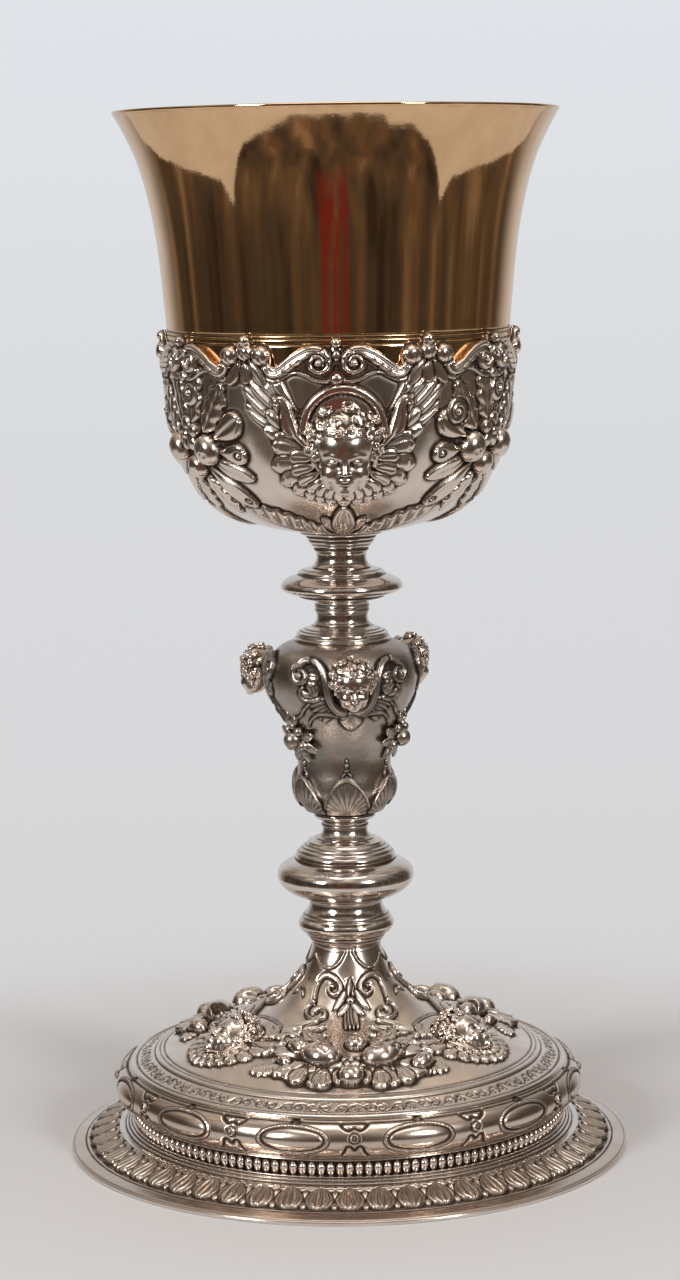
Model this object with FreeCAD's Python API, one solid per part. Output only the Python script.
import FreeCAD, Part
import math
import os

# Communion chalice: a gilt cup in an openwork-edged silver calyx, a stem of turned
# knops and an urn-shaped node strung on a tie rod, and a domed foot on a wide flange.
# Millimetres, +Z up, origin on the axis at the plane the foot rests on.

os.makedirs("parts", exist_ok=True)
V = FreeCAD.Vector

# ---------------------------------------------------------------- driving sizes
TOTAL_HEIGHT = 255.0
RIM_RADIUS = 53.8          # lip of the cup
FLANGE_RADIUS = 69.4       # outer edge of the foot
ROD_RADIUS = 2.5
SLEEVE_BORE = 2.58         # running clearance of each stem section on the rod
SHEET = 1.1                # wall of the raised stem sections
CUP_WALL = 1.2
CALYX_WALL = 0.6
FOOT_WALL = 1.0
THREAD_LIFT = 9.0          # engaged length of the cup screw

Z_FOOT_TOP = 50.6
Z_FOOT_RING = 52.9
Z_SMALL_KNOP = 62.0
Z_LOWER_KNOP = 77.0
Z_LOWER_NECK = 83.9
Z_VASE = 126.5
Z_CAP = 130.3
Z_MID_NECK = 136.6
Z_UPPER_KNOP = 144.4
Z_UPPER_NECK = 149.4
Z_COLLAR = 153.5
Z_CALYX_FLOOR = 154.3
SEAT_GAP = 0.1            # between faces of pieces that turn on each other
Z_CUP_BOTTOM = 156.8

PLATE_LOW, PLATE_HIGH = 36.0, 37.2
WASHER_LOW, WASHER_HIGH = 34.9, 35.9
NUT_LOW, NUT_HIGH = 29.8, 34.8
ROD_END = 29.0

HEAD_RADIUS = 5.0
HEADS = [(6.0, 118.4, 21.4), (-114.0, 117.0, 23.4), (126.0, 119.8, 21.4)]   # turn from the front, height, reach
FRUITS = [(-54.0, 105.6), (66.0, 105.6), (186.0, 105.6)]


# ---------------------------------------------------------------- helpers
def vec(p):
    return V(p[0], 0, p[1])


def close(a, b):
    return abs(a[0] - b[0]) < 1e-7 and abs(a[1] - b[1]) < 1e-7


def wire_of(path):
    """path: first item a point, then points (straight) or lists of points (smooth curve
    from the last point through them)."""
    edges, last = [], path[0]
    for item in path[1:]:
        if isinstance(item, list):
            pts = [last] + item
            curve = Part.BSplineCurve()
            curve.interpolate([vec(p) for p in pts])
            edges.append(curve.toShape())
            last = item[-1]
        elif not close(last, item):
            edges.append(Part.LineSegment(vec(last), vec(item)).toShape())
            last = item
    if not close(last, path[0]):
        edges.append(Part.LineSegment(vec(last), vec(path[0])).toShape())
    return Part.Wire(edges)


def turn(path):
    """The solid of revolution of a closed half section."""
    face = Part.Face(wire_of(path))
    solid = face.revolve(V(0, 0, 0), V(0, 0, 1), 360)
    if solid.ShapeType != "Solid":
        solid = Part.Solid(Part.Shell(solid.Faces))
    if solid.Volume < 0:
        solid.reverse()
    return solid


def radius_at(profile, z):
    """Outer radius of a profile, listed from low to high, at height z."""
    for (r0, z0), (r1, z1) in zip(profile, profile[1:]):
        if z0 <= z <= z1:
            return r0 if z1 == z0 else r0 + (r1 - r0) * (z - z0) / (z1 - z0)
    return profile[0][0] if z < profile[0][1] else profile[-1][0]


def inside_of(profile, wall, z_low, z_high, least, step):
    """Inner radii that leave at least wall everywhere, from z_low to z_high."""
    n = max(2, int(round((z_high - z_low) / step)))
    found = []
    for i in range(n + 1):
        z = z_low + (z_high - z_low) * i / n
        r = 1e9
        for k in range(-12, 13):
            d = wall * k / 12.0
            zz = min(max(z + d, profile[0][1]), profile[-1][1])
            r = min(r, radius_at(profile, zz) - math.sqrt(max(0.0, wall * wall - d * d)))
        found.append((max(least, r), z))
    return found


def sleeve(profile, bore=SLEEVE_BORE, wall=SHEET, top=1.0, least=3.6, step=1.3):
    """A raised stem section: a wall following the profile, closed by a plate at the top
    that the rod goes through, and open below."""
    z0, z1 = profile[0][1], profile[-1][1]
    inner = inside_of(profile, wall, z0, z1 - top, least, step)
    path = [(bore, z1)] + profile[::-1] + inner + [(bore, z1 - top)]
    return turn(path)


def export(name, shape):
    assert shape.isValid(), name
    shape.exportStep("parts/%s.step" % name)
    print(name, len(shape.Solids), "solids", round(shape.Volume, 1), "mm3")


def polar(reach, angle, z):
    a = math.radians(angle)
    return V(reach * math.sin(a), -reach * math.cos(a), z)


def ring(r0, r1, z0, z1):
    return turn([(r0, z0), (r1, z0), (r1, z1), (r0, z1)])


# ---------------------------------------------------------------- cup
CUP_OUT = [(10.0, 156.8), (14.0, 157.5), (20.0, 159.1), (27.0, 162.0), (32.0, 165.6), (35.8, 170.0),
           (38.2, 175.2), (39.7, 181.0), (40.6, 187.0), (41.15, 193.0), (41.5, 199.0), (41.75, 205.0),
           (42.3, 211.0), (42.9, 217.5), (43.6, 223.5), (44.55, 229.5), (45.6, 234.5), (46.9, 239.5),
           (48.5, 244.2), (50.3, 248.2), (52.1, 251.7), (53.5, 254.2)]
CUP_IN = [(10.0, 158.0), (13.8, 158.7), (19.5, 160.2), (26.2, 163.0), (31.0, 166.4), (34.7, 170.6),
          (37.0, 175.6), (38.5, 181.2), (39.4, 187.1), (39.95, 193.0), (40.3, 199.0), (40.55, 205.0),
          (41.1, 211.0), (41.7, 217.6), (42.4, 223.7), (43.35, 229.8), (44.4, 234.9), (45.7, 240.0),
          (47.3, 244.8), (49.1, 248.9), (50.9, 252.3), (52.2, 254.5)]
cup = turn([(0, 156.8), CUP_OUT[0], CUP_OUT[1:], [(53.8, 254.75), (53.5, 255.0)], (52.6, TOTAL_HEIGHT),
            CUP_IN[-1], CUP_IN[::-1][1:], (0, 158.0)])
export("cup", cup)

# The disc soldered under the cup, and the screw that it holds
boss = ring(ROD_RADIUS, 9.0, Z_CALYX_FLOOR + SEAT_GAP, Z_CUP_BOTTOM)
export("cup_boss", boss)
screw = turn([(0, Z_COLLAR - THREAD_LIFT + 0.1), (1.9, Z_COLLAR - THREAD_LIFT + 0.1),
              (2.45, Z_COLLAR - THREAD_LIFT + 0.7), (2.45, Z_COLLAR - 0.2), (2.45, Z_CALYX_FLOOR + SEAT_GAP),
              (ROD_RADIUS, Z_CALYX_FLOOR + SEAT_GAP), (ROD_RADIUS, Z_CUP_BOTTOM), (0, Z_CUP_BOTTOM)])
export("cup_screw", screw)

# ---------------------------------------------------------------- calyx
CALYX_OUT = [(10.2, 153.6), (13.5, 153.98), (20.0, 155.4), (26.2, 157.9), (30.7, 160.9), (34.4, 164.8),
             (37.2, 169.3), (39.2, 174.0), (40.5, 179.0), (41.3, 184.0), (41.8, 189.0), (42.2, 194.0),
             (42.5, 199.0), (42.8, 204.0)]
CALYX_IN = [(10.0, 154.3), (13.4, 154.6), (19.7, 156.0), (25.8, 158.45), (30.2, 161.35), (33.85, 165.15),
            (36.6, 169.5), (38.6, 174.1), (39.9, 179.1), (40.7, 184.05), (41.2, 189.0), (41.6, 194.0),
            (41.9, 199.0), (42.2, 204.0)]
calyx = turn([(3.0, 153.6), CALYX_OUT[0], CALYX_OUT[1:], CALYX_IN[-1], CALYX_IN[::-1][1:], (3.0, 154.3)])
# The upper edge runs in scallops, cut by short round bars pointing outwards
for i in range(12):
    a = 15.0 + 30.0 * i
    bar = Part.makeCylinder(6.0, 14.0, polar(36.0, a, 206.0 - 1.2), polar(1.0, a, 0))
    calyx = calyx.cut(bar)
export("calyx", calyx)

# ---------------------------------------------------------------- head of the stem
COLLAR = [(6.9, 149.4), (7.3, 149.8), (7.4, 150.3), (7.9, 150.6), (8.05, 151.2), (8.4, 151.4),
          (8.6, 152.0), (9.2, 152.4), (10.0, 152.9), (10.2, 153.5)]
collar = turn([(4.4, 153.5)] + COLLAR[::-1] + [(4.4, 149.4)])
export("cup_collar", collar)
# Threaded coupling: the cup's screw enters from above, the rod is fixed in from below
coupling = turn([(ROD_RADIUS, 138.0), (4.4, 138.0), (4.4, 153.5), (2.52, 153.5), (2.52, 144.2),
                 (ROD_RADIUS, 144.2)])
export("rod_coupling", coupling)
rod = turn([(0, ROD_END), (2.0, ROD_END), (ROD_RADIUS, ROD_END + 0.5), (ROD_RADIUS, 144.2), (0, 144.2)])
export("tie_rod", rod)

# ---------------------------------------------------------------- stem sections, top down
UPPER_NECK = [(7.3, 144.4), (6.65, 145.2), (6.3, 146.2), (6.15, 147.2), (6.3, 148.2), (6.6, 148.9),
              (6.7, 149.4)]
export("upper_neck", sleeve(UPPER_NECK, bore=4.45, least=4.7, top=0.8))
UPPER_KNOP = [(7.2, 136.6), (8.8, 136.75), (10.3, 137.1), (10.6, 137.55), (11.6, 137.75), (13.2, 138.2),
              (14.4, 138.8), (14.9, 139.4), (14.95, 140.0), (14.5, 140.9), (13.3, 141.75), (11.7, 142.4),
              (10.7, 142.7), (10.6, 143.3), (10.2, 143.7), (8.8, 144.0), (7.6, 144.4)]
export("upper_knop", sleeve(UPPER_KNOP, bore=4.45, least=4.9, top=0.9, step=0.9))
MID_NECK = [(7.0, 130.3), (6.6, 130.9), (6.4, 131.6), (6.4, 132.2), (6.7, 132.4), (6.7, 132.8),
            (6.5, 133.0), (6.5, 133.3), (6.75, 133.5), (6.75, 134.0), (6.5, 134.2), (6.4, 134.9),
            (6.5, 135.7), (6.9, 136.3), (7.0, 136.6)]
export("middle_neck", sleeve(MID_NECK))
CAP = [(11.8, 126.5), (11.7, 127.1), (11.4, 127.5), (10.4, 127.65), (10.3, 128.3), (10.0, 128.7),
       (9.0, 128.9), (8.9, 129.4), (8.3, 129.75), (7.4, 129.9), (7.2, 130.3)]
export("node_cap", sleeve(CAP, least=4.0, top=1.0, step=0.9))

VASE = [(7.7, 83.9), (8.9, 84.9), (9.9, 86.1), (10.7, 87.4), (11.3, 88.9), (11.6, 90.5), (11.6, 92.5),
        (11.45, 95.0), (11.6, 97.5), (12.1, 100.0), (12.8, 102.5), (13.8, 105.0), (15.0, 107.5),
        (16.3, 110.2), (17.5, 113.0), (18.3, 116.0), (18.5, 118.8), (18.0, 121.5), (16.8, 123.7),
        (15.0, 125.2), (13.3, 126.0), (11.8, 126.5)]
vase_in = inside_of(VASE, SHEET, 83.9, 125.5, 3.6, 2.6)
vase = turn([(SLEEVE_BORE, 126.5), VASE[-1], VASE[::-1][1:]] + vase_in + [(SLEEVE_BORE, 125.5)])
export("node_vase", vase)
vase_full = turn([(0, 126.5), VASE[-1], VASE[::-1][1:], (0, 83.9)])

# Six fluted leaves around the foot of the vase, as one cup with pointed tips
LEAF = [(9.7, 84.7), (10.75, 86.0), (11.55, 87.2), (12.15, 88.7), (12.45, 90.4), (12.5, 92.4), (12.35, 94.6),
        (12.45, 96.8), (13.0, 99.2)]
leaf = turn([(8.6, 83.9), LEAF, (11.0, 99.2), (6.0, 92.0), (6.0, 83.9)]).cut(vase_full)
for i in range(6):
    a = 30.0 + 60.0 * i
    c, s = math.cos(math.radians(a)), math.sin(math.radians(a))
    pts = []
    for side, z in ((-10.9, 99.6), (0.0, 86.6), (10.9, 99.6)):
        pts.append(V(7.0 * s + side * c, -7.0 * c + side * s, z))
    notch = Part.Face(Part.makePolygon(pts + [pts[0]])).extrude(V(9.0 * s, -9.0 * c, 0))
    leaf = leaf.cut(notch)
export("node_leaf_cup", leaf)

# Cast cherub heads and fruit clusters soldered on the vase
heads = []
for a, z, reach in HEADS:
    head = Part.makeSphere(HEAD_RADIUS, polar(reach, a, z + 1.2))
    chin = Part.makeSphere(HEAD_RADIUS * 0.82, polar(reach, a, z - 2.6))
    start = polar(15.0, a, z)
    stalk = Part.makeCylinder(3.3, reach - 15.0, start, polar(reach, a, z) - start)
    heads.append(head.fuse(chin).fuse(stalk).cut(vase_full))
export("node_cherub_heads", Part.makeCompound(heads))
fruits = []
for a, z in FRUITS:
    # one large fruit over two smaller ones, set so that each sinks into the vase wall
    group = Part.makeSphere(2.6, polar(radius_at(VASE, z) + 1.0, a, z))
    left = Part.makeSphere(2.1, polar(radius_at(VASE, z - 2.4) + 0.9, a - 11.0, z - 2.4))
    right = Part.makeSphere(2.1, polar(radius_at(VASE, z - 2.7) + 0.9, a + 11.0, z - 2.7))
    left.rotate(left.BoundBox.Center, V(1, 0, 0), 33)
    right.rotate(right.BoundBox.Center, V(1, 0, 0), 57)
    group = group.fuse(left).fuse(right).cut(vase_full)
    fruits.append(group)
export("node_fruit_clusters", Part.makeCompound(fruits))

LOWER_NECK = [(7.3, 77.0), (6.5, 77.4), (6.0, 78.0), (5.65, 78.9), (5.55, 79.8), (5.8, 80.0), (5.8, 80.4),
              (5.6, 80.6), (5.8, 81.2), (6.4, 81.8), (7.2, 82.2), (7.6, 82.6), (7.75, 83.1), (7.7, 83.9)]
export("lower_neck", sleeve(LOWER_NECK))
LOWER_KNOP = [(9.3, 62.0), (10.8, 62.3), (13.0, 63.2), (15.2, 64.5), (16.5, 65.9), (17.0, 67.4),
              (16.8, 68.8), (16.0, 70.0), (14.6, 71.0), (13.0, 71.6), (12.3, 71.8), (12.5, 72.4),
              (12.35, 73.3), (11.7, 74.2), (10.7, 74.9), (9.8, 75.2), (9.7, 75.5), (9.6, 76.1),
              (9.2, 76.4), (8.3, 76.6), (7.6, 77.0)]
export("lower_knop", sleeve(LOWER_KNOP, top=1.1, step=1.2))
SMALL_KNOP = [(9.9, 52.9), (10.9, 53.6), (11.7, 54.6), (11.95, 55.5), (11.7, 56.3), (11.1, 57.0),
              (11.0, 57.5), (10.4, 57.8), (10.3, 58.3), (9.8, 58.9), (9.3, 59.8), (9.05, 60.6),
              (9.05, 61.3), (9.4, 61.5), (9.4, 62.0)]
export("small_knop", sleeve(SMALL_KNOP, step=1.0))
FOOT_RING = [(8.5, 50.6), (8.65, 51.2), (9.1, 51.6), (9.5, 52.0), (9.65, 52.5), (9.9, 52.9)]
export("foot_collar_ring", turn([(SLEEVE_BORE, 50.6)] + FOOT_RING + [(SLEEVE_BORE, 52.9)]))

# ---------------------------------------------------------------- foot
DOME_OUT = [(8.6, 49.6), (9.0, 48.3), (9.5, 46.9), (10.2, 45.1), (10.9, 43.6), (11.8, 42.1), (13.0, 40.7),
            (14.6, 39.0), (16.8, 37.0), (19.6, 35.0), (23.5, 32.9), (28.5, 30.8), (34.0, 28.9),
            (40.0, 26.8), (45.5, 24.6), (48.2, 23.5), (51.0, 22.3), (53.0, 21.6)]
DOME_IN = [(7.6, 49.5), (8.0, 48.2), (8.5, 46.7), (9.15, 44.8), (9.8, 43.2), (10.8, 41.5), (12.1, 40.0),
           (13.8, 38.3), (16.1, 36.3), (19.0, 34.2), (23.0, 32.0), (28.1, 29.9), (33.6, 28.0),
           (39.6, 25.9), (45.0, 23.7), (47.7, 22.6), (49.8, 21.7), (50.6, 21.2)]
Z_BAND_TOP = 20.6
Z_BAND_LOW = 11.0
dome = turn([(SLEEVE_BORE, Z_FOOT_TOP), (8.5, Z_FOOT_TOP), DOME_OUT, (53.0, Z_BAND_TOP), (50.6, Z_BAND_TOP),
             DOME_IN[-1], DOME_IN[::-1][1:], (SLEEVE_BORE, 49.5)])
export("foot_dome", dome)
dome_space = turn([(0, 20.6), (50.6, 20.6), DOME_IN[-1], DOME_IN[::-1][1:], (0, 49.5)])
plate = ring(SLEEVE_BORE, 19.0, PLATE_LOW, PLATE_HIGH).common(dome_space)
export("foot_plate", plate)

export("foot_upper_wire", turn([(53.0, Z_BAND_TOP), (54.2, Z_BAND_TOP), (54.35, 21.1), (54.0, 21.7),
                                (53.5, 21.9), (53.0, 21.6)]))
BAND_OUT = [(56.1, 19.8), (57.4, 18.2), (57.9, 16.1), (57.4, 14.0), (56.1, 12.4), (54.2, 11.5)]
BAND_IN = [(55.1, 12.9), (56.3, 14.2), (56.8, 16.1), (56.3, 18.0), (55.1, 19.2), (53.6, 19.7)]
band = turn([(54.2, Z_BAND_TOP), BAND_OUT, (54.0, Z_BAND_LOW), (51.4, Z_BAND_LOW), (51.4, 12.0),
             (53.6, 12.1), BAND_IN, (51.4, 19.7), (51.4, Z_BAND_TOP)])
export("foot_band", band)
step_ring = turn([(51.4, Z_BAND_LOW), (53.9, Z_BAND_LOW), (53.9, 10.6), (52.6, 10.45), (52.6, 7.0),
                  (54.2, 6.9), (54.8, 6.6), (55.0, 6.1), (55.8, 5.9), (56.2, 5.4), (57.6, 5.3),
                  (57.6, 4.4), (55.6, 4.5), (53.6, 5.6), (51.4, 6.0)])
export("foot_step_ring", step_ring)
# The row of upright beads is one closed ring here
export("foot_bead_wire", turn([(52.6, 7.1), (53.4, 7.05), [(54.2, 7.6), (54.5, 8.7), (54.2, 9.8), (53.4, 10.35)],
                               (52.6, 10.3)]))
flange = turn([(57.6, 5.3), [(59.6, 4.55), (62.0, 3.3), (64.5, 2.15)], (66.0, 2.05), (66.3, 1.75),
               (68.6, 1.3), (FLANGE_RADIUS, 0.95), (FLANGE_RADIUS, 0.8), (66.2, 0.8), (64.4, 1.2),
               [(62.0, 2.4), (59.6, 3.6), (57.6, 4.4)]])
export("foot_flange", flange)
export("foot_rim_wire", ring(66.4, FLANGE_RADIUS, 0.0, 0.8))

# ---------------------------------------------------------------- clamping nut and washer
export("rod_washer", ring(2.6, 8.0, WASHER_LOW, WASHER_HIGH))
AF = 10.0
hexagon = [V(AF / math.sqrt(3) * math.cos(math.radians(60 * k)), AF / math.sqrt(3) * math.sin(math.radians(60 * k)),
             NUT_LOW) for k in range(6)]
nut = Part.Face(Part.makePolygon(hexagon + [hexagon[0]])).extrude(V(0, 0, NUT_HIGH - NUT_LOW))
nut = nut.common(turn([(0, NUT_LOW), (5.0, NUT_LOW), (6.2, NUT_LOW + 0.8), (6.2, NUT_HIGH), (0, NUT_HIGH)]))
nut = nut.cut(Part.makeCylinder(2.55, 10, V(0, 0, NUT_LOW - 2)))
export("rod_nut", nut)
